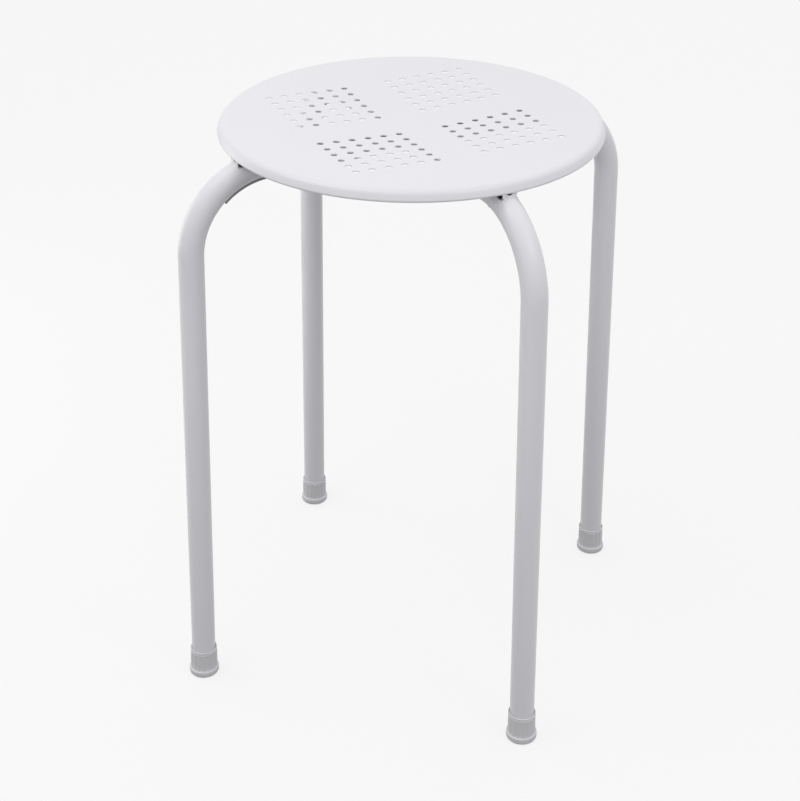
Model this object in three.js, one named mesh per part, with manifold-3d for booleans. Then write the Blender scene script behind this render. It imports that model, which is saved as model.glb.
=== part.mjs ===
// Stacking stool: a pressed and perforated steel seat pan on four bent tube legs.
// Millimetres, +Z up, origin on the floor under the middle of the seat.

import * as THREE from 'three';
import { mergeGeometries, mergeVertices } from 'three/addons/utils/BufferGeometryUtils.js';
import Module from 'manifold-3d';

// Overall sizes
const seatHeight = 450;
const seatDiameter = 287;
const legSplay = THREE.MathUtils.degToRad(1.8);

// Seat pan, pressed from sheet
const sheetThickness = 0.8;
const dishDepth = 4.5;
const panDepth = 8.2;
const crownRadius = 5.5;
const skirtTurn = THREE.MathUtils.degToRad(66);
const hemRadius = 1.5;
const lipWidth = 2;
const panSegments = 56;
const crownSteps = 4;
const hemSteps = 3;

// Holes: four square groups on one grid, with a plain cross between them
const holeDiameter = 5;
const holePitch = 12.45;
const holesPerSide = 6;
const crossPitchCount = 3;
const patternTurn = THREE.MathUtils.degToRad(-2.5);
const holeSides = 8;

// Leg tube
const tubeDiameter = 19;
const tubeWall = 1.2;
const bendRadius = 63;
const bendSteps = 10;
const tubeSides = 16;
const boreSides = 10;
const dishClearance = 0.2;
const lipClearance = 1.4;
const mitreGap = 0.3;

// Weld tab between lip and tube
const tabWidth = 11;
const tabThickness = 1.5;
const tabNotchWidth = 3;
const tabNotchDepth = 1;
const weldGap = 0.3;

// Stacking pad in the hollow of the bend
const padThickness = 1.4;
const padGap = 0.55;
const padWrap = THREE.MathUtils.degToRad(15);
const padStart = THREE.MathUtils.degToRad(46);
const padEnd = THREE.MathUtils.degToRad(86);
const padBendSteps = 7;
const padArcSteps = 2;

// Foot ferrule
const footHeight = 25.5;
const footBaseDiameter = 24;
const footBaseHeight = 6;
const footBarrelDiameter = 21.8;
const footLipDiameter = 21.6;
const footLipHeight = 3;
const footSoleThickness = 4;
const footSoleRound = 2.4;
const footRoundSteps = 3;
const footFit = 0.3;
const fluteCount = 16;
const fluteDepth = 0.45;
const boreFacets = 16;

// One overrun serves every cut, and corners closer than the tolerance are one
const overrun = 5;
const cornerTolerance = 1e-4;

const seatRadius = seatDiameter / 2;
const tubeRadius = tubeDiameter / 2;

const wasm = await Module();
wasm.setup();

// A closed geometry as a solid: only positions stay, shared corners are merged, collapsed triangles go
function toSolid(geometry) {
  const bare = geometry.clone();
  bare.deleteAttribute('normal');
  bare.deleteAttribute('uv');
  const merged = mergeVertices(bare, cornerTolerance);
  const index = merged.index.array;
  const corners = [];
  for (let i = 0; i < index.length; i += 3) {
    const [a, b, c] = [index[i], index[i + 1], index[i + 2]];
    if (a !== b && b !== c && c !== a) {
      corners.push(a, b, c);
    }
  }
  return new wasm.Manifold(new wasm.Mesh({
    numProp: 3,
    vertProperties: new Float32Array(merged.attributes.position.array),
    triVerts: new Uint32Array(corners),
  }));
}

function toGeometry(solid) {
  const mesh = solid.getMesh();
  const geometry = new THREE.BufferGeometry();
  geometry.setAttribute('position', new THREE.BufferAttribute(new Float32Array(mesh.vertProperties), 3));
  geometry.setIndex(new THREE.BufferAttribute(new Uint32Array(mesh.triVerts), 1));
  geometry.computeVertexNormals();
  return geometry;
}

// A profile of radius and height turned about the Z axis
function turned(profile, segments) {
  return new THREE.LatheGeometry(profile, segments).rotateX(Math.PI / 2);
}

// Points of an arc in the plane of radius and height, both ends included
function arc(centre, radius, from, to, steps) {
  const points = [];
  for (let i = 0; i <= steps; i += 1) {
    const angle = THREE.MathUtils.lerp(from, to, i / steps);
    points.push(new THREE.Vector2(
      centre.x + radius * Math.cos(angle),
      centre.y + radius * Math.sin(angle),
    ));
  }
  return points;
}

// A curve given at set stations, so that a long straight run takes a single step
class StationCurve extends THREE.Curve {
  constructor(stations) {
    super();
    this.stations = stations;
  }

  station(share) {
    return this.stations[Math.round(share * (this.stations.length - 1))];
  }

  getPointAt(share, target = new THREE.Vector3()) {
    return target.copy(this.station(share).point);
  }

  getTangentAt(share, target = new THREE.Vector3()) {
    return target.copy(this.station(share).tangent);
  }
}

function swept(shape, stations) {
  return new THREE.ExtrudeGeometry(shape, {
    steps: stations.length - 1,
    extrudePath: new StationCurve(stations),
    bevelEnabled: false,
  });
}

// The rim in section: a crown, a straight skirt that leans outwards, a hem and a turned-in lip
const lipBottom = seatHeight - panDepth;
const hemCentre = new THREE.Vector2(seatRadius - hemRadius, lipBottom + hemRadius);
const lipEdge = new THREE.Vector2(hemCentre.x - lipWidth, lipBottom);
const skirtNormal = Math.PI / 2 - skirtTurn;
const skirtDrop = panDepth
  - crownRadius * (1 - Math.sin(skirtNormal))
  - hemRadius * (1 + Math.sin(skirtNormal));
const crownCentre = new THREE.Vector2(
  hemCentre.x + (hemRadius - crownRadius) * Math.cos(skirtNormal) - skirtDrop * Math.tan(skirtNormal),
  seatHeight - crownRadius,
);

// Height of the pan's upper face over its dish, a cosine between the middle and the crown of the rim
function dishHeight(radius) {
  return seatHeight - (dishDepth / 2) * (1 + Math.cos(Math.PI * (radius / crownCentre.x)));
}

// The leg's line in its own plane of radius and height: foot, leaning leg, bend, level run to the middle.
// The dish rests on the crossing of the four runs, and the bend's crown clears the edge of the lip.
const slope = Math.tan(legSplay);
const runAxisHeight = dishHeight(0) - sheetThickness - dishClearance - tubeRadius;
const bendCentreHeight = runAxisHeight - bendRadius;
const crownUnderLip = lipBottom - lipClearance - bendCentreHeight;
const bendCentre = new THREE.Vector2(
  lipEdge.x - Math.sqrt((bendRadius + tubeRadius) ** 2 - crownUnderLip ** 2),
  bendCentreHeight,
);
const legTop = new THREE.Vector2(
  bendCentre.x + bendRadius * Math.cos(legSplay),
  bendCentre.y + bendRadius * Math.sin(legSplay),
);
const footCircleRadius = legTop.x + legTop.y * slope;

function legAxisRadius(height) {
  return footCircleRadius - height * slope;
}

// Stations on an arc about the bend's centre; the angle starts at the leg's side
function bendStations(from, to, steps) {
  return arc(bendCentre, bendRadius, from, to, steps).map((point, i) => {
    const angle = THREE.MathUtils.lerp(from, to, i / steps);
    return {
      point: new THREE.Vector3(point.x, 0, point.y),
      tangent: new THREE.Vector3(-Math.sin(angle), 0, Math.cos(angle)),
    };
  });
}

// Seat pan: the skin's outer line from the middle to the lip, then its inner line back
function panProfile() {
  const dishShares = [0, 0.34, 0.6, 0.82];
  const dish = dishShares.map((share) => new THREE.Vector2(
    share * crownCentre.x,
    dishHeight(share * crownCentre.x),
  ));
  const outer = [
    ...dish,
    ...arc(crownCentre, crownRadius, Math.PI / 2, skirtNormal, crownSteps),
    ...arc(hemCentre, hemRadius, skirtNormal, -Math.PI / 2, hemSteps),
    lipEdge,
  ];
  const inner = [
    new THREE.Vector2(lipEdge.x, lipEdge.y + sheetThickness),
    ...arc(hemCentre, hemRadius - sheetThickness, -Math.PI / 2, skirtNormal, hemSteps - 1),
    ...arc(crownCentre, crownRadius - sheetThickness, skirtNormal, Math.PI / 2, crownSteps - 1),
    ...dish.map((point) => new THREE.Vector2(point.x, point.y - sheetThickness)).reverse(),
  ];
  return [...outer, ...inner].reverse();
}

// Places of the holes along one side of the grid, on both sides of the plain cross
function gridPlaces() {
  const places = [];
  for (const side of [-1, 1]) {
    for (let i = 0; i < holesPerSide; i += 1) {
      places.push(side * (crossPitchCount / 2 + i) * holePitch);
    }
  }
  return places;
}

function punches() {
  const places = gridPlaces();
  const length = dishDepth + sheetThickness + 2 * overrun;
  const middle = seatHeight - (dishDepth + sheetThickness) / 2;
  const all = [];
  for (const x of places) {
    for (const y of places) {
      all.push(new THREE.CylinderGeometry(holeDiameter / 2, holeDiameter / 2, length, holeSides)
        .rotateX(Math.PI / 2)
        .translate(x, y, middle));
    }
  }
  return mergeGeometries(all).rotateZ(Math.PI / 4 + patternTurn);
}

function seatPan() {
  return toGeometry(toSolid(turned(panProfile(), panSegments)).subtract(toSolid(punches())));
}

// Leg: a hollow tube swept along the leg's line, mitred at the middle against its neighbours
function ringPoints(radius, sides) {
  const points = [];
  for (let i = 0; i < sides; i += 1) {
    const angle = ((i + 0.5) / sides) * 2 * Math.PI;
    points.push(new THREE.Vector2(radius * Math.cos(angle), radius * Math.sin(angle)));
  }
  return points;
}

function tubeSection() {
  const section = new THREE.Shape(ringPoints(tubeRadius, tubeSides));
  section.holes.push(new THREE.Path(ringPoints(tubeRadius - tubeWall, boreSides)));
  return section;
}

function legStations() {
  const start = footSoleThickness + footFit + tubeRadius * Math.sin(legSplay);
  const footPoint = new THREE.Vector3(legAxisRadius(start), 0, start);
  const along = new THREE.Vector3(-Math.sin(legSplay), 0, Math.cos(legSplay));
  const inward = new THREE.Vector3(-1, 0, 0);
  const bend = bendStations(legSplay, Math.PI / 2, bendSteps);
  const runEnd = new THREE.Vector3(-overrun, 0, runAxisHeight);
  return [
    { point: footPoint, tangent: along },
    ...bend,
    { point: runEnd, tangent: inward },
  ];
}

function mitreWedge() {
  const apex = mitreGap / Math.SQRT2;
  const reach = footCircleRadius + tubeDiameter;
  const wedge = new THREE.Shape([
    new THREE.Vector2(apex, 0),
    new THREE.Vector2(apex + reach, -reach),
    new THREE.Vector2(apex + reach, reach),
  ]);
  return new THREE.ExtrudeGeometry(wedge, { depth: seatHeight, bevelEnabled: false });
}

function leg() {
  return toGeometry(toSolid(swept(tubeSection(), legStations())).intersect(toSolid(mitreWedge())));
}

// Weld tab: a small saddle on the tube's crown, notched in the middle of its upper edge
function crownHeight(radius) {
  const outer = bendRadius + tubeRadius;
  return bendCentre.y + Math.sqrt(outer * outer - (radius - bendCentre.x) ** 2);
}

function tubeEnvelope(clearance) {
  const section = new THREE.Shape(ringPoints(tubeRadius + clearance, tubeSides));
  return toSolid(swept(section, legStations()));
}

function weldTab() {
  const outerFace = hemCentre.x;
  const middle = outerFace - tabThickness / 2;
  const top = lipBottom - weldGap;
  const depth = tubeRadius;
  const block = new THREE.BoxGeometry(tabThickness, tabWidth, depth).translate(middle, 0, top - depth / 2);
  const trim = new THREE.BoxGeometry(tabThickness + overrun, tabWidth + overrun, depth);
  const trimTop = crownHeight(outerFace) - tubeRadius + Math.sqrt(tubeRadius ** 2 - (tabWidth / 2) ** 2);
  trim.translate(middle, 0, trimTop - weldGap - depth / 2);
  const notch = new THREE.BoxGeometry(tabThickness + overrun, tabNotchWidth, depth)
    .translate(middle, 0, top - tabNotchDepth + depth / 2);
  return toGeometry(toSolid(block)
    .subtract(tubeEnvelope(weldGap))
    .subtract(toSolid(trim))
    .subtract(toSolid(notch)));
}

// Stacking pad: a strip that hugs the hollow side of the bend
function padSection() {
  const inner = tubeRadius + padGap;
  const points = [
    ...arc(new THREE.Vector2(0, 0), inner, -Math.PI / 2 - padWrap, -Math.PI / 2 + padWrap, padArcSteps),
    ...arc(new THREE.Vector2(0, 0), inner + padThickness, -Math.PI / 2 + padWrap,
      -Math.PI / 2 - padWrap, padArcSteps),
  ];
  return new THREE.Shape(points);
}

function stackingPad() {
  const stations = bendStations(legSplay + padStart, legSplay + padEnd, padBendSteps);
  return toGeometry(toSolid(swept(padSection(), stations)));
}

// Foot: a ferrule with a rounded lip, a fluted barrel and a wider base, leaning with the leg on a level sole
function footProfile() {
  const baseRadius = footBaseDiameter / 2;
  const barrelRadius = footBarrelDiameter / 2;
  const lipRadius = footLipDiameter / 2;
  const lipRound = footLipHeight / 2;
  return [
    new THREE.Vector2(0, 0),
    ...arc(new THREE.Vector2(baseRadius - footSoleRound, footSoleRound), footSoleRound,
      -Math.PI / 2, 0, footRoundSteps),
    new THREE.Vector2(baseRadius, footBaseHeight - fluteDepth),
    new THREE.Vector2(barrelRadius, footBaseHeight + fluteDepth),
    new THREE.Vector2(lipRadius, footHeight - footLipHeight - fluteDepth),
    new THREE.Vector2(lipRadius, footHeight - footLipHeight),
    new THREE.Vector2(lipRadius, footHeight - lipRound),
    new THREE.Vector2(lipRadius - lipRound / 2, footHeight),
    new THREE.Vector2(0, footHeight),
  ];
}

function foot() {
  const body = turned(footProfile(), 2 * fluteCount);
  const place = body.attributes.position;
  const fluteTop = footHeight - footLipHeight - fluteDepth;
  for (let i = 0; i < place.count; i += 1) {
    const [x, y, z] = [place.getX(i), place.getY(i), place.getZ(i)];
    const turns = (Math.atan2(y, x) / (2 * Math.PI)) * fluteCount;
    const inFlute = Math.round(2 * turns) % 2 !== 0;
    const onBarrel = z > footBaseHeight && z < fluteTop + fluteDepth / 2;
    if (inFlute && onBarrel) {
      const radius = Math.hypot(x, y);
      const share = (radius - fluteDepth) / radius;
      place.setX(i, x * share);
      place.setY(i, y * share);
    }
  }
  const boreRadius = tubeRadius + footFit;
  const boreDepth = footHeight - footSoleThickness + overrun;
  const bore = new THREE.CylinderGeometry(boreRadius, boreRadius, boreDepth, boreFacets)
    .rotateX(Math.PI / 2)
    .rotateZ(Math.PI / boreFacets)
    .translate(0, 0, footSoleThickness + boreDepth / 2);
  const lean = new THREE.Matrix4().set(
    1, 0, -slope, 0,
    0, 1, 0, 0,
    0, 0, 1, 0,
    0, 0, 0, 1,
  );
  return toGeometry(toSolid(body).subtract(toSolid(bore)))
    .applyMatrix4(lean)
    .translate(footCircleRadius, 0, 0);
}

// Finishes, each mesh with a material of its own
function powderCoat() {
  return new THREE.MeshStandardMaterial({ color: 0xeeedf2, roughness: 0.45, metalness: 0 });
}

function footPlastic() {
  return new THREE.MeshStandardMaterial({ color: 0xd6d6d9, roughness: 0.6, metalness: 0 });
}

function padPlastic() {
  return new THREE.MeshStandardMaterial({ color: 0x85858a, roughness: 0.7, metalness: 0 });
}

function named(name, geometry, material) {
  const mesh = new THREE.Mesh(geometry, material);
  mesh.name = name;
  return mesh;
}

const stool = new THREE.Group();
stool.add(named('seat_pan', seatPan(), powderCoat()));

const legPlaces = [
  ['back_right', 1],
  ['back_left', 3],
  ['front_left', 5],
  ['front_right', 7],
];

for (const [place, eighths] of legPlaces) {
  const quarter = new THREE.Group();
  quarter.rotation.z = (eighths * Math.PI) / 4;
  quarter.add(named(`leg_${place}`, leg(), powderCoat()));
  quarter.add(named(`weld_tab_${place}`, weldTab(), powderCoat()));
  quarter.add(named(`stacking_pad_${place}`, stackingPad(), padPlastic()));
  quarter.add(named(`foot_${place}`, foot(), footPlastic()));
  stool.add(quarter);
}

export default stool;
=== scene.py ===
import math

import bmesh
import bpy
from mathutils import Matrix, Vector


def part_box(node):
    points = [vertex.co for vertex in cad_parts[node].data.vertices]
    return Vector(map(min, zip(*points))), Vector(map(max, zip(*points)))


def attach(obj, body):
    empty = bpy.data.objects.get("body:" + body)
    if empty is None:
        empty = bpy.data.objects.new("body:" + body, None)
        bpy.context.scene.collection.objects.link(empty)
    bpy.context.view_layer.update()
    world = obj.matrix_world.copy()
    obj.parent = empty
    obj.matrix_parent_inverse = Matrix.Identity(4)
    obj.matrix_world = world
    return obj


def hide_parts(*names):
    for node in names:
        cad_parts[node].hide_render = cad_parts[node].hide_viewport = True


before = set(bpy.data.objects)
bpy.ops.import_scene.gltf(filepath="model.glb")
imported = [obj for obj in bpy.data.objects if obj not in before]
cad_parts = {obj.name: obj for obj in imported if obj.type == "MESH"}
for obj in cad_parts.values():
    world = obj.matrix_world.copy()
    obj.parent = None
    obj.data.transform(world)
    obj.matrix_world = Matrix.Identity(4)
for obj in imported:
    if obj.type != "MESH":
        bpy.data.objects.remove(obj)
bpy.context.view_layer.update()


# Seat pan.
# A round blank of 0.8 mm steel sheet, pressed to a shallow dish with a leaning skirt and a turned-in lip,
# punched with four groups of 36 holes, then powder coated white with the frame.

mm = 0.001
pan_low, pan_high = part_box("seat_pan")
seat_radius = pan_high.x
seat_top = pan_high.z
lip_bottom = pan_low.z
sheet = 0.8 * mm
dish_depth = 4.5 * mm
crown_radius = 5.5 * mm
skirt_degrees = 66
skirt_normal = math.radians(90 - skirt_degrees)
hem_radius = 1.5 * mm
lip_width = 2 * mm
hem_centre = (seat_radius - hem_radius, lip_bottom + hem_radius)
skirt_drop = (
    seat_top - lip_bottom
    - crown_radius * (1 - math.sin(skirt_normal))
    - hem_radius * (1 + math.sin(skirt_normal))
)
crown_centre = (
    hem_centre[0]
    + (hem_radius - crown_radius) * math.cos(skirt_normal)
    - skirt_drop * math.tan(skirt_normal),
    seat_top - crown_radius,
)
pan_segments = 288
dish_steps = 44
crown_steps = 16
inner_crown_steps = 12
hem_steps = 12
inner_hem_steps = 6

# Steel edges that turn by more than this stay crisp, and gentler ones are shaded as curves.
steel_crease = math.radians(35)

# The holes stand in a square grid with a bare cross through it, turned a little against the legs.
leg_degrees = 45
grid_slip_degrees = 2.5
pattern_turn = math.radians(leg_degrees - grid_slip_degrees)
hole_diameter = 5 * mm
hole_pitch = 12.45 * mm
holes_per_side = 6
cross_pitches = 3
punch_rollover = 0.45 * mm
punch_overrun = 3 * mm
punch_segments = 28
rollover_steps = 4


def dish_height(radius):
    """Height of the seat's upper surface: a dish that is level in the middle and where the crown starts."""
    return seat_top - dish_depth / 2 * (1 + math.cos(math.pi * radius / crown_centre[0]))


def arc(centre, radius, start, end, steps):
    """Points of an arc round a centre, both ends included."""
    angles = [start + (end - start) * i / steps for i in range(steps + 1)]
    return [(centre[0] + radius * math.cos(a), centre[1] + radius * math.sin(a)) for a in angles]


def round_angles(count):
    """The angles of that many equal steps round a circle."""
    return [2 * math.pi * i / count for i in range(count)]


def join_rings(mesh, rings):
    """Joins closed rings of bmesh vertices, each to the next, with quads."""
    for lower, upper in zip(rings, rings[1:]):
        for i in range(len(lower)):
            j = (i + 1) % len(lower)
            mesh.faces.new((lower[i], lower[j], upper[j], upper[i]))


def turned(mesh, profile, segments, place=Vector((0, 0, 0))):
    """Turns a profile that starts and ends on the axis about a vertical line through place."""
    angles = round_angles(segments)
    rings = [
        [mesh.verts.new(place + Vector((radius * math.cos(a), radius * math.sin(a), height))) for a in angles]
        for radius, height in profile[1:-1]
    ]
    join_rings(mesh, rings)
    for (_, height), ring in ((profile[0], rings[0]), (profile[-1], rings[-1])):
        middle = mesh.verts.new(place + Vector((0, 0, height)))
        for i in range(segments):
            mesh.faces.new((middle, ring[(i + 1) % segments], ring[i]))


def shade(data, crease):
    """Smooth shading that breaks at edges which turn by more than the crease angle."""
    data.shade_smooth()
    data.set_sharp_from_angle(angle=crease)


def make_object(name, mesh, crease=steel_crease):
    """Turns a bmesh into an object of the scene, with its faces pointing out."""
    bmesh.ops.recalc_face_normals(mesh, faces=mesh.faces)
    data = bpy.data.meshes.new(name)
    mesh.to_mesh(data)
    mesh.free()
    shade(data, crease)
    piece = bpy.data.objects.new(name, data)
    bpy.context.scene.collection.objects.link(piece)
    return piece


def pan_profile():
    """The sheet's section, from the middle of the seat out to the lip and back underneath."""
    lip_edge = hem_centre[0] - lip_width
    radii = [crown_centre[0] * i / dish_steps for i in range(dish_steps)]
    outer = [(radius, dish_height(radius)) for radius in radii]
    outer += arc(crown_centre, crown_radius, math.pi / 2, skirt_normal, crown_steps)
    outer += arc(hem_centre, hem_radius, skirt_normal, -math.pi / 2, hem_steps)
    outer += [(lip_edge, lip_bottom)]
    inner = [(lip_edge, lip_bottom + sheet)]
    inner += arc(hem_centre, hem_radius - sheet, -math.pi / 2, skirt_normal, inner_hem_steps)
    inner += arc(crown_centre, crown_radius - sheet, skirt_normal, math.pi / 2, inner_crown_steps)
    inner += [(radius, dish_height(radius) - sheet) for radius in reversed(radii)]
    return outer + inner


def punch_profile():
    """A punch that flares at the sheet's upper side, so that the hole comes out with a rolled-over edge."""
    radius = hole_diameter / 2
    mouth = radius + punch_rollover
    bottom = -sheet - punch_overrun
    flare = arc((mouth, -punch_rollover), punch_rollover, math.pi, math.pi / 2, rollover_steps)
    return [(0, bottom), (radius, bottom)] + flare + [(mouth, punch_overrun), (0, punch_overrun)]


def make_punches():
    """All punches of the four groups, each at the height of the dish at its place."""
    punches = bmesh.new()
    places = [side * (cross_pitches / 2 + i) * hole_pitch for side in (-1, 1) for i in range(holes_per_side)]
    turn = Matrix.Rotation(pattern_turn, 3, "Z")
    for x in places:
        for y in places:
            spot = turn @ Vector((x, y, 0))
            spot.z = dish_height(spot.length)
            turned(punches, punch_profile(), punch_segments, spot)
    return make_object("punches", punches)


def make_pan():
    """The pressed sheet with all its holes cut in one go."""
    pressed = bmesh.new()
    turned(pressed, pan_profile(), pan_segments)
    pan = make_object("seat_pan_sheet", pressed)
    punches = make_punches()
    cut = pan.modifiers.new("punched", "BOOLEAN")
    cut.operation = "DIFFERENCE"
    cut.solver = "MANIFOLD"
    cut.object = punches
    bpy.context.view_layer.update()
    evaluated = pan.evaluated_get(bpy.context.evaluated_depsgraph_get())
    punched = bpy.data.meshes.new_from_object(evaluated)
    pan.modifiers.clear()
    pan.data = punched
    punched.materials.clear()
    shade(punched, steel_crease)
    bpy.data.objects.remove(punches)
    return pan


def linear(hex_colour):
    """An sRGB hex colour as the linear values that a shader socket takes."""
    channels = [int(hex_colour[i:i + 2], 16) / 255 for i in (1, 3, 5)]
    return [c / 12.92 if c <= 0.04045 else ((c + 0.055) / 1.055) ** 2.4 for c in channels] + [1]


def add_node(tree, kind, links=(), inputs=(), **settings):
    """Adds a node: settings are its own fields, inputs its values, links (socket, other node, its output)."""
    made = tree.nodes.new(kind)
    for field, value in settings.items():
        setattr(made, field, value)
    for socket, value in dict(inputs).items():
        made.inputs[socket].default_value = value
    for socket, other, output in links:
        tree.links.new(other.outputs[output], made.inputs[socket])
    return made


def new_material(name):
    """A material with nothing in it, and its node tree."""
    material = bpy.data.materials.new(name)
    material.use_nodes = True
    material.node_tree.nodes.clear()
    return material, material.node_tree


# White polyester powder coat: baked on in one thick film, it hides the steel and gives an even satin white
# with a faint lilac cast, a soft highlight and a barely seen orange peel, which is drawn at 2.2 mm where the
# real one has about 1.5 mm, to show at all. Under the lip beside each weld tab the colour is painted nearly
# black: a painted shade for the deep shadow in the crevice between the lip and the tube.
coat_light = "#f3f2f7"
coat_shade = "#f0eff4"
coat_smooth = 0.27
coat_dull = 0.34
coat_ior = 1.5
film_patch = 55 * mm
film_detail = 2
peel_spacing = 2.2 * mm
peel_height = 0.012 * mm
peel_detail = 1
peel_strength = 0.5

# The painted shade is a ball behind a tab, just under the lip; the tab's outer face keeps the coat's white.
crevice_painted_shade = "#161618"
painted_shade_behind = 4 * mm
painted_shade_below = 2 * mm
painted_shade_reach = 6.3 * mm
painted_shade_fade_end = 8.1 * mm
painted_shade_inset = 0.4 * mm
painted_shade_inset_fade = 0.4 * mm

# A Mix node has sockets for each kind of value under the same names, so its colours go by number.
mix_from = 6
mix_to = 7
mix_colour = 2


def powder_coat():
    """The coat of pan, tubes, tabs and welds, with a painted shade beside each of the four tabs."""
    material, tree = new_material("white_powder_coat")
    place = add_node(tree, "ShaderNodeTexCoord")
    patches = add_node(
        tree, "ShaderNodeTexNoise", [("Vector", place, "Object")],
        {"Scale": 1 / film_patch, "Detail": film_detail},
    )
    colour = add_node(
        tree, "ShaderNodeMix", [("Factor", patches, 0)],
        {mix_from: linear(coat_shade), mix_to: linear(coat_light)}, data_type="RGBA",
    )
    # Painted shade: the coat turns nearly black in the crevice under the lip beside each tab, where the lip
    # shades the tube.
    quarter = add_node(tree, "ShaderNodeVectorMath", [(0, place, "Object")], operation="ABSOLUTE")
    painted_shade_side = (hem_centre[0] - painted_shade_behind) / math.sqrt(2)
    from_tab = add_node(
        tree, "ShaderNodeVectorMath", [(0, quarter, 0)],
        {1: (painted_shade_side, painted_shade_side, lip_bottom - painted_shade_below)}, operation="DISTANCE",
    )
    clear_of_tab = add_node(
        tree, "ShaderNodeMapRange", [("Value", from_tab, "Value")],
        {"From Min": painted_shade_reach, "From Max": painted_shade_fade_end}, interpolation_type="SMOOTHSTEP",
    )
    level = add_node(
        tree, "ShaderNodeVectorMath", [(0, place, "Object")], {1: (1, 1, 0)}, operation="MULTIPLY"
    )
    from_axis = add_node(tree, "ShaderNodeVectorMath", [(0, level, 0)], operation="LENGTH")
    outside_lip = add_node(
        tree, "ShaderNodeMapRange", [("Value", from_axis, "Value")],
        {"From Min": hem_centre[0] - painted_shade_inset - painted_shade_inset_fade, "From Max": hem_centre[0] - painted_shade_inset},
    )
    shade_free = add_node(
        tree, "ShaderNodeMath", [(0, clear_of_tab, "Result"), (1, outside_lip, "Result")],
        operation="MAXIMUM",
    )
    coat_with_painted_shade = add_node(
        tree, "ShaderNodeMix", [("Factor", shade_free, 0), (mix_to, colour, mix_colour)],
        {mix_from: linear(crevice_painted_shade)}, data_type="RGBA",
    )
    gloss = add_node(
        tree, "ShaderNodeMapRange", [("Value", patches, 0)], {"To Min": coat_smooth, "To Max": coat_dull}
    )
    peel = add_node(
        tree, "ShaderNodeTexNoise", [("Vector", place, "Object")],
        {"Scale": 1 / peel_spacing, "Detail": peel_detail},
    )
    bump = add_node(
        tree, "ShaderNodeBump", [("Height", peel, 0)], {"Strength": peel_strength, "Distance": peel_height}
    )
    shader = add_node(
        tree, "ShaderNodeBsdfPrincipled",
        [("Base Color", coat_with_painted_shade, mix_colour), ("Roughness", gloss, "Result"), ("Normal", bump, "Normal")],
        {"IOR": coat_ior},
    )
    add_node(tree, "ShaderNodeOutputMaterial", [("Surface", shader, "BSDF")])
    return material


coat = powder_coat()
seat_pan = make_pan()
seat_pan.data.materials.append(coat)
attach(seat_pan, "root")
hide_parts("seat_pan")


# Legs.
# Four lengths of 19 mm steel tube with a 1.2 mm wall, each bent once. The leg leans out a little, and the
# level run carries the pan and is mitred at its end to meet the other three under the middle of the seat.

splay = math.radians(1.8)
tube_radius = 9.5 * mm
tube_wall = 1.2 * mm
bend_radius = 63 * mm
dish_clearance = 0.2 * mm
lip_clearance = 1.4 * mm
mitre_gap = 0.3 * mm
sole_thickness = 4 * mm
foot_fit = 0.3 * mm
bend_steps = 36
tube_segments = 56

slope = math.tan(splay)
run_height = dish_height(0) - sheet - dish_clearance - tube_radius
bend_height = run_height - bend_radius
crown_under_lip = lip_bottom - lip_clearance - bend_height
bend_centre = Vector((
    hem_centre[0] - lip_width - math.sqrt((bend_radius + tube_radius) ** 2 - crown_under_lip ** 2),
    bend_height,
))
leg_top = bend_centre + bend_radius * Vector((math.cos(splay), math.sin(splay)))
foot_circle = leg_top.x + leg_top.y * slope

leg_angles = {
    "back_right": leg_degrees,
    "back_left": leg_degrees + 90,
    "front_left": leg_degrees + 180,
    "front_right": leg_degrees + 270,
}


def leg_frame(name):
    """The turn that takes a leg's own plane of outward, sideways and up to its place on the stool."""
    return Matrix.Rotation(math.radians(leg_angles[name]), 3, "Z")


def bend_station(angle):
    """Axis point and outward normal of the bend, in outward and up; the angle starts at the leg's side."""
    normal = Vector((math.cos(angle), math.sin(angle)))
    return bend_centre + normal * bend_radius, normal


def leg_ring(mesh, turn, radius, place, normal):
    """A ring round the tube's axis at a place in the leg's own plane, square to the way the tube runs."""
    ring = []
    for angle in round_angles(tube_segments):
        spot = place + normal * radius * math.sin(angle)
        ring.append(mesh.verts.new(turn @ Vector((spot.x, radius * math.cos(angle), spot.y))))
    return ring


def mitred_ring(mesh, turn, radius):
    """The run's inner end, cut by the two upright planes halfway to its neighbours."""
    ring = []
    for angle in round_angles(tube_segments):
        side = radius * math.cos(angle)
        outward = abs(side) + mitre_gap / math.sqrt(2)
        ring.append(mesh.verts.new(turn @ Vector((outward, side, run_height + radius * math.sin(angle)))))
    return ring


def make_leg(name):
    """A tube with its outer and inner wall, from its end in the foot round the bend to the mitre."""
    turn = leg_frame(name)
    mesh = bmesh.new()
    end_height = sole_thickness + foot_fit + tube_radius * math.sin(splay)
    foot_end = Vector((foot_circle - end_height * slope, end_height))
    walls = []
    for radius in (tube_radius, tube_radius - tube_wall):
        rings = [leg_ring(mesh, turn, radius, foot_end, bend_station(splay)[1])]
        for i in range(bend_steps + 1):
            place, normal = bend_station(splay + (math.pi / 2 - splay) * i / bend_steps)
            rings.append(leg_ring(mesh, turn, radius, place, normal))
        rings.append(mitred_ring(mesh, turn, radius))
        join_rings(mesh, rings)
        walls.append(rings)
    join_rings(mesh, [walls[0][0], walls[1][0]])
    join_rings(mesh, [walls[0][-1], walls[1][-1]])
    return make_object(f"tube_{name}", mesh)


for name in leg_angles:
    tube = make_leg(name)
    tube.data.materials.append(coat)
    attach(tube, "root")
    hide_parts(f"leg_{name}")


# Weld tabs.
# Small steel saddles that stand on the crown of each bend just inside the rim, cut to the tube's curve
# below and notched in the middle of their upper edge, and welded to the turned-in lip.

tab_width = 11 * mm
tab_thickness = 1.5 * mm
tab_notch_width = 5 * mm
tab_notch_depth = 1.55 * mm
weld_gap = 0.3 * mm
tab_edge = 0.15 * mm
tab_edge_steps = 2
tab_foot_steps = 20
tab_notch_steps = 12
tab_crease = math.radians(30)


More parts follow.
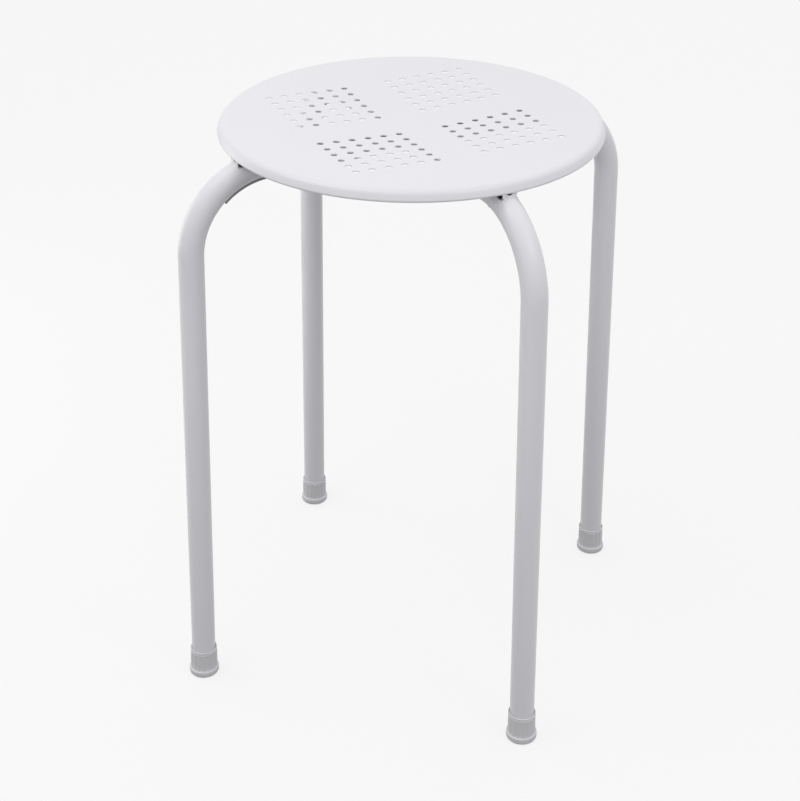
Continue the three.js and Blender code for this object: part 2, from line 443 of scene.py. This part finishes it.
def crown_height(outward, sideways, clearance=0):
    """Height of the bend's upper surface, grown by a clearance, at a place in the leg's own plane."""
    section = math.sqrt((tube_radius + clearance) ** 2 - sideways ** 2)
    return bend_centre.y + math.sqrt((bend_radius + section) ** 2 - (outward - bend_centre.x) ** 2)


def close_rings(mesh, rings):
    """Joins rings to each other and closes the first and the last with a face."""
    join_rings(mesh, rings)
    mesh.faces.new(rings[0])
    mesh.faces.new(rings[-1])


def round_edges(piece, label, width, steps, crease):
    """Rounds the edges of a piece that turn by more than the crease angle."""
    edge = piece.modifiers.new(label, "BEVEL")
    edge.width = width
    edge.segments = steps
    edge.limit_method = "ANGLE"
    edge.angle_limit = crease


def make_tab(name):
    """A plate across the leg's plane: the tube's curve below, two level lands and the notch above."""
    turn = leg_frame(name)
    half = tab_width / 2
    notch = tab_notch_width / 2
    foot_line = [half * (2 * i / tab_foot_steps - 1) for i in range(tab_foot_steps + 1)]
    mesh = bmesh.new()
    faces = []
    for outward in (hem_centre[0], hem_centre[0] - tab_thickness):
        outline = [(side, crown_height(outward, side, weld_gap / 2)) for side in foot_line]
        outline.append((half, lip_bottom))
        for i in range(tab_notch_steps + 1):
            angle = math.pi * i / tab_notch_steps
            outline.append((notch * math.cos(angle), lip_bottom - tab_notch_depth * math.sin(angle)))
        outline.append((-half, lip_bottom))
        faces.append([mesh.verts.new(turn @ Vector((outward, side, height))) for side, height in outline])
    close_rings(mesh, faces)
    tab = make_object(f"tab_{name}", mesh, tab_crease)
    round_edges(tab, "deburred", tab_edge, tab_edge_steps, tab_crease)
    return tab


for name in leg_angles:
    tab = make_tab(name)
    tab.data.materials.append(coat)
    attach(tab, "root")
    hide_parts(f"weld_tab_{name}")


# Welds.
# Short runs of weld metal, coated over with the frame: one in each corner between two mitred tubes, one
# along each face of a tab where it stands on its tube, and two where its top meets the lip.

bead_spacing = 1.5 * mm
bead_ripple_share = 0.015
bead_taper_radii = 2
bead_tip_share = 0.02
bead_sides = 12
bead_crease = math.radians(60)

corner_bead = 1.3 * mm
corner_start = math.radians(-80)
corner_end = math.radians(62)
corner_steps = 60

tab_bead = 0.7 * mm
tab_bead_run_on = 1 * mm
tab_bead_length = tab_width + 2 * tab_bead_run_on
tab_bead_steps = 24

lip_bead = 0.65 * mm
lip_bead_run_on = 0.5 * mm
lip_bead_length = (tab_width - tab_notch_width) / 2 + lip_bead_run_on
lip_bead_out = 0.1 * mm
lip_bead_down = 0.3 * mm
lip_bead_steps = 12


def make_bead(name, path, radius):
    """A bead along points, with the ripples that a weld pool leaves, drawn in at both ends."""
    mesh = bmesh.new()
    rings = []
    travelled = 0
    total = sum((b - a).length for a, b in zip(path, path[1:]))
    for i, point in enumerate(path):
        if i:
            travelled += (point - path[i - 1]).length
        tangent = (path[min(i + 1, len(path) - 1)] - path[max(i - 1, 0)]).normalized()
        side = tangent.orthogonal().normalized()
        lift = tangent.cross(side)
        to_end = min(travelled, total - travelled) / (bead_taper_radii * radius)
        taper = math.sin(min(1, max(to_end, bead_tip_share)) * math.pi / 2)
        ripple = 1 + bead_ripple_share * math.sin(2 * math.pi * travelled / bead_spacing)
        reach = radius * taper * ripple
        ring = []
        for angle in round_angles(bead_sides):
            spot = point + side * reach * math.cos(angle) + lift * reach * math.sin(angle)
            ring.append(mesh.verts.new(spot))
        rings.append(ring)
    close_rings(mesh, rings)
    bead = make_object(name, mesh, bead_crease)
    bead.data.materials.append(coat)
    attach(bead, "root")


for corner in range(len(leg_angles)):
    seam = Matrix.Rotation(corner * math.pi / 2, 3, "Z")
    path = []
    for i in range(corner_steps + 1):
        angle = corner_start + (corner_end - corner_start) * i / corner_steps
        reach = tube_radius * math.cos(angle) * math.sqrt(2)
        path.append(seam @ Vector((reach, 0, run_height + tube_radius * math.sin(angle))))
    make_bead(f"corner_weld_{corner + 1}", path, corner_bead)

for name in leg_angles:
    turn = leg_frame(name)
    for face, outward in (("outer", hem_centre[0]), ("inner", hem_centre[0] - tab_thickness)):
        sides = [tab_bead_length * (i / tab_bead_steps - 0.5) for i in range(tab_bead_steps + 1)]
        path = [turn @ Vector((outward, side, crown_height(outward, side))) for side in sides]
        make_bead(f"tab_weld_{name}_{face}", path, tab_bead)
    for hand, label in ((-1, "left"), (1, "right")):
        along = [lip_bead_length * i / lip_bead_steps for i in range(lip_bead_steps + 1)]
        sides = [hand * (tab_notch_width / 2 + distance) for distance in along]
        outward = hem_centre[0] + lip_bead_out
        height = lip_bottom - lip_bead_down
        path = [turn @ Vector((outward, side, height)) for side in sides]
        make_bead(f"lip_weld_{name}_{label}", path, lip_bead)


# Stacking pads.
# Thin strips of grey plastic in the hollow of each bend, which keep the coat from rubbing where a stool
# sits on the one below it. Each is moulded to the tube's curve, with square ends and rounded edges.

pad_thickness = 1.4 * mm
pad_gap = 0.55 * mm
pad_wrap = math.radians(15)
pad_start = math.radians(46)
pad_end = math.radians(86)
pad_edge = 0.3 * mm
pad_edge_steps = 3
pad_wrap_steps = 8
pad_steps = 24
moulded_crease = math.radians(40)

# Grey moulded polyethylene: coloured right through, so it looks dull and even, with the fine grain of an
# eroded mould and a weak waxy sheen. The grain is drawn at 0.7 mm, coarser than the real one, to show.
pad_dark = "#9c9ca2"
pad_light = "#a8a8ae"
pad_roughness = 0.55
pad_grain = 0.7 * mm
pad_grain_height = 0.02 * mm
plastic_ior = 1.51
plastic_cloud = 12 * mm
cloud_detail = 3
sheen_spread = 0.06
grain_detail = 2
grain_strength = 0.6


def moulded_plastic(name, dark, light, roughness, grain, grain_height):
    """Polyethylene as the mould leaves it, cloudy in its colour and sheen and grained all over."""
    material, tree = new_material(name)
    place = add_node(tree, "ShaderNodeTexCoord")
    cloud = add_node(
        tree, "ShaderNodeTexNoise", [("Vector", place, "Object")],
        {"Scale": 1 / plastic_cloud, "Detail": cloud_detail},
    )
    colour = add_node(
        tree, "ShaderNodeMix", [("Factor", cloud, 0)],
        {mix_from: linear(dark), mix_to: linear(light)}, data_type="RGBA",
    )
    gloss = add_node(
        tree, "ShaderNodeMapRange", [("Value", cloud, 0)],
        {"To Min": roughness - sheen_spread, "To Max": roughness + sheen_spread},
    )
    grains = add_node(
        tree, "ShaderNodeTexNoise", [("Vector", place, "Object")],
        {"Scale": 1 / grain, "Detail": grain_detail},
    )
    bump = add_node(
        tree, "ShaderNodeBump", [("Height", grains, 0)],
        {"Strength": grain_strength, "Distance": grain_height},
    )
    shader = add_node(
        tree, "ShaderNodeBsdfPrincipled",
        [("Base Color", colour, mix_colour), ("Roughness", gloss, "Result"), ("Normal", bump, "Normal")],
        {"IOR": plastic_ior},
    )
    add_node(tree, "ShaderNodeOutputMaterial", [("Surface", shader, "BSDF")])
    return material


def make_pad(name):
    """A strip that wraps the tube's inner side and follows the bend."""
    turn = leg_frame(name)
    inner = tube_radius + pad_gap
    middle = -math.pi / 2
    section = arc((0, 0), inner, middle - pad_wrap, middle + pad_wrap, pad_wrap_steps)
    section += arc((0, 0), inner + pad_thickness, middle + pad_wrap, middle - pad_wrap, pad_wrap_steps)
    mesh = bmesh.new()
    rings = []
    for i in range(pad_steps + 1):
        place, normal = bend_station(splay + pad_start + (pad_end - pad_start) * i / pad_steps)
        ring = []
        for side, lift in section:
            spot = place + normal * lift
            ring.append(mesh.verts.new(turn @ Vector((spot.x, side, spot.y))))
        rings.append(ring)
    close_rings(mesh, rings)
    pad = make_object(f"pad_{name}", mesh, moulded_crease)
    round_edges(pad, "rounded", pad_edge, pad_edge_steps, moulded_crease)
    return pad


pad_plastic = moulded_plastic(
    "grey_moulded_pad", pad_dark, pad_light, pad_roughness, pad_grain, pad_grain_height
)
for name in leg_angles:
    pad = make_pad(name)
    pad.data.materials.append(pad_plastic)
    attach(pad, "root")
    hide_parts(f"stacking_pad_{name}")


# Feet.
# Ferrules moulded in pale grey polyethylene and pushed over the ends of the tubes: a thin rounded lip,
# a barrel with sixteen shallow flutes for grip, and a wider base with a level sole.

foot_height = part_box("foot_back_right")[1].z
foot_base = 12 * mm
foot_base_height = 6 * mm
foot_base_round = 0.9 * mm
foot_barrel = 10.9 * mm
foot_lip = 10.8 * mm
foot_lip_height = 3 * mm
sole_round = 2.4 * mm
gate_radius = 1.6 * mm
gate_depth = 0.4 * mm
bore_lead = 0.2 * mm
bore_lead_top = 0.1 * mm
bore_lead_bottom = 0.4 * mm
foot_segments = 192
foot_round_steps = 8
base_round_steps = 5

# The flutes start part deep above the base and fade out over the last sixth of the barrel.
flute_count = 16
flute_depth = 0.45 * mm
flute_above_base = 0.5 * mm
flute_below_lip = 0.3 * mm
flute_start_share = 0.4
flute_fade = 6
flute_steps = 16

# A small fillet where the barrel stands on the base.
barrel_root = 0.15 * mm
barrel_root_height = 0.1 * mm
barrel_root_flute_share = 0.2

# Pale grey moulded polyethylene: a little darker and duller than the coat beside it, with a fine grain.
foot_dark = "#e0e0e4"
foot_light = "#e6e6ea"
foot_roughness = 0.5
foot_grain = 0.6 * mm
foot_grain_height = 0.015 * mm


def foot_profile():
    """Rows of radius, height and share of flute depth, from the sole's gate mark to the bore's floor."""
    base_corner = (foot_base - foot_base_round, foot_base_height - foot_base_round)
    below = [(gate_radius - gate_depth, gate_depth), (gate_radius, 0)]
    below += arc((foot_base - sole_round, sole_round), sole_round, -math.pi / 2, 0, foot_round_steps)
    below += arc(base_corner, foot_base_round, 0, math.pi / 2, base_round_steps)

    flute_bottom = foot_base_height + flute_above_base
    flute_top = foot_height - foot_lip_height - flute_below_lip
    barrel = [(foot_barrel + barrel_root, foot_base_height + barrel_root_height, barrel_root_flute_share)]
    for i in range(flute_steps + 1):
        share = i / flute_steps
        radius = foot_barrel + (foot_lip - foot_barrel) * share
        height = flute_bottom + share * (flute_top - flute_bottom)
        depth_share = min(1, flute_fade * share + flute_start_share, flute_fade * (1 - share))
        barrel.append((radius, height, depth_share))

    bore = tube_radius + foot_fit
    lip_round = foot_lip_height / 4
    lip_corner = (foot_lip - lip_round, foot_height - 2 * lip_round)
    above = arc(lip_corner, lip_round, -math.pi / 2, math.pi / 2, foot_round_steps)
    above += [(bore + bore_lead, foot_height - bore_lead_top), (bore, foot_height - bore_lead_bottom)]
    above += [(bore, sole_thickness)]
    return [(*point, 0) for point in below] + barrel + [(*point, 0) for point in above]


def make_foot(name):
    """A ferrule of level rings that lean with the leg, its barrel drawn in at each flute."""
    turn = leg_frame(name)
    mesh = bmesh.new()
    rings = []
    for radius, height, depth_share in foot_profile():
        ring = []
        for angle in round_angles(foot_segments):
            reach = radius - flute_depth * depth_share * (1 - math.cos(flute_count * angle)) / 2
            outward = foot_circle - height * slope + reach * math.cos(angle)
            ring.append(mesh.verts.new(turn @ Vector((outward, reach * math.sin(angle), height))))
        rings.append(ring)
    close_rings(mesh, rings)
    return make_object(f"ferrule_{name}", mesh, moulded_crease)


foot_plastic = moulded_plastic(
    "pale_grey_moulded_foot", foot_dark, foot_light, foot_roughness, foot_grain, foot_grain_height
)
for name in leg_angles:
    foot = make_foot(name)
    foot.data.materials.append(foot_plastic)
    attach(foot, "root")
    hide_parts(f"foot_{name}")


# Floor.
# A plain pale sheet that takes the stool's soft shadow and runs out of every view. It is pale to the eye
# and to reflections, and greyer in the light that it sends back up to the stool; close by the stool that grey
# is darker, a painted shadow of the stool on the floor.
# Its sizes are in metres.

floor_size = 40
floor_glow = "#fdfdfd"
floor_pale = "#f8f8f8"
floor_shadow_share = 0.22
floor_bounce_painted_shadow = "#585858"
floor_bounce_far = "#8c8c8c"
floor_near = 0.15
floor_far = 0.55


def seen_rays(tree):
    """One where a ray shows the background to the eye: direct, mirrored or passed through."""
    rays = add_node(tree, "ShaderNodeLightPath")
    seen = add_node(
        tree, "ShaderNodeMath", [(0, rays, "Is Camera Ray"), (1, rays, "Is Glossy Ray")], operation="MAXIMUM"
    )
    return add_node(
        tree, "ShaderNodeMath", [(0, seen, 0), (1, rays, "Is Transmission Ray")], operation="MAXIMUM"
    )


def studio_floor():
    """Matt white paper: mostly a plain glow to the eye, with a lit share that takes the shadow."""
    material, tree = new_material("studio_floor")
    glow = add_node(tree, "ShaderNodeEmission", (), {"Color": linear(floor_glow), "Strength": 1})
    lit = add_node(tree, "ShaderNodeBsdfDiffuse", (), {"Color": linear(floor_pale)})
    pale = add_node(tree, "ShaderNodeMixShader", [(1, glow, 0), (2, lit, 0)], {0: floor_shadow_share})
    place = add_node(tree, "ShaderNodeTexCoord")
    reach = add_node(tree, "ShaderNodeVectorMath", [(0, place, "Object")], operation="LENGTH")
    away = add_node(
        tree, "ShaderNodeMapRange", [("Value", reach, "Value")],
        {"From Min": floor_near, "From Max": floor_far},
    )
    # Painted shadow: the grey that the floor sends back up is darker close by the stool.
    bounce = add_node(
        tree, "ShaderNodeMix", [("Factor", away, 0)],
        {mix_from: linear(floor_bounce_painted_shadow), mix_to: linear(floor_bounce_far)}, data_type="RGBA",
    )
    back = add_node(tree, "ShaderNodeBsdfDiffuse", [("Color", bounce, mix_colour)])
    both = add_node(tree, "ShaderNodeMixShader", [(0, seen_rays(tree), 0), (1, back, 0), (2, pale, 0)])
    add_node(tree, "ShaderNodeOutputMaterial", [("Surface", both, 0)])
    return material


paper = bmesh.new()
bmesh.ops.create_grid(paper, x_segments=1, y_segments=1, size=floor_size / 2)
floor = make_object("floor", paper)
floor.data.materials.append(studio_floor())


# Light.
# A white surround that lights the stool evenly from all of the sky, with five square soft boxes: over the
# front left of the seat, at the right for the gleam on the front right bend, low at the left, and two weak
# narrow ones that reach in between the near legs and lighten the far ones.

surround_colour = "#f8f8f8"
surround_light = 0.81


def soft_box(name, place, aim, side, watts, spread_degrees=180):
    """A square lamp that faces a point."""
    data = bpy.data.lights.new(name, "AREA")
    data.shape = "SQUARE"
    data.size = side
    data.energy = watts
    data.spread = math.radians(spread_degrees)
    lamp = bpy.data.objects.new(name, data)
    lamp.location = place
    lamp.rotation_euler = (Vector(aim) - Vector(place)).to_track_quat("-Z", "Y").to_euler()
    bpy.context.scene.collection.objects.link(lamp)


soft_box("overhead_box", place=(-0.38, -0.3, 1.1), aim=(-0.05, -0.05, 0.45), side=0.45, watts=0.85)
soft_box("right_box", place=(0.6, -0.4, 1.0), aim=(0.13, -0.13, 0.42), side=0.3, watts=0.65)
soft_box("left_box", place=(-1.0, 0.1, 0.33), aim=(0, 0, 0.25), side=0.5, watts=1.1)
soft_box(
    "back_right_box", place=(-0.3, -1.0, 0.2), aim=(0.13, 0.13, 0.35), side=0.15,
    watts=0.011, spread_degrees=18,
)
soft_box(
    "back_left_box", place=(-0.75, -0.85, 0.25), aim=(-0.13, 0.13, 0.3), side=0.15,
    watts=0.018, spread_degrees=22,
)

world = bpy.data.worlds.new("surround")
bpy.context.scene.world = world
world.use_nodes = True
sky = world.node_tree
sky.nodes.clear()
lighting = add_node(
    sky, "ShaderNodeBackground", (), {"Color": linear(surround_colour), "Strength": surround_light}
)
backdrop = add_node(sky, "ShaderNodeBackground", (), {"Color": linear(surround_colour), "Strength": 1})
either = add_node(sky, "ShaderNodeMixShader", [(0, seen_rays(sky), 0), (1, lighting, 0), (2, backdrop, 0)])
add_node(sky, "ShaderNodeOutputWorld", [("Surface", either, 0)])


# Camera.
# The photograph's own viewpoint, worked out from the grid of holes, the seat's outline and the legs.
# It looks at a point a little beside the stool's axis, from a distance in metres.

camera_azimuth = math.radians(17.07)
camera_elevation = math.radians(30.065)
camera_roll = math.radians(0.263)
camera_distance = 1.3432
camera_aside = -0.00738
camera_aim_height = 0.20705
picture_height_px = 801
focal_px = 1651.4
sensor_mm = 36

ahead = Vector((
    -math.sin(camera_azimuth) * math.cos(camera_elevation),
    math.cos(camera_azimuth) * math.cos(camera_elevation),
    -math.sin(camera_elevation),
))
right = ahead.cross(Vector((0, 0, 1))).normalized()
upward = right.cross(ahead)
rolled_right = right * math.cos(camera_roll) + upward * math.sin(camera_roll)
rolled_up = upward * math.cos(camera_roll) - right * math.sin(camera_roll)
viewpoint = Vector((0, 0, camera_aim_height)) + right * camera_aside - ahead * camera_distance
axes = Matrix((rolled_right, rolled_up, -ahead)).transposed()

camera_data = bpy.data.cameras.new("camera")
camera_data.sensor_width = sensor_mm
camera_data.lens = sensor_mm * focal_px / picture_height_px
camera = bpy.data.objects.new("camera", camera_data)
camera.matrix_world = Matrix.Translation(viewpoint) @ axes.to_4x4()
bpy.context.scene.collection.objects.link(camera)
bpy.context.scene.camera = camera
bpy.context.scene.view_settings.view_transform = "Standard"
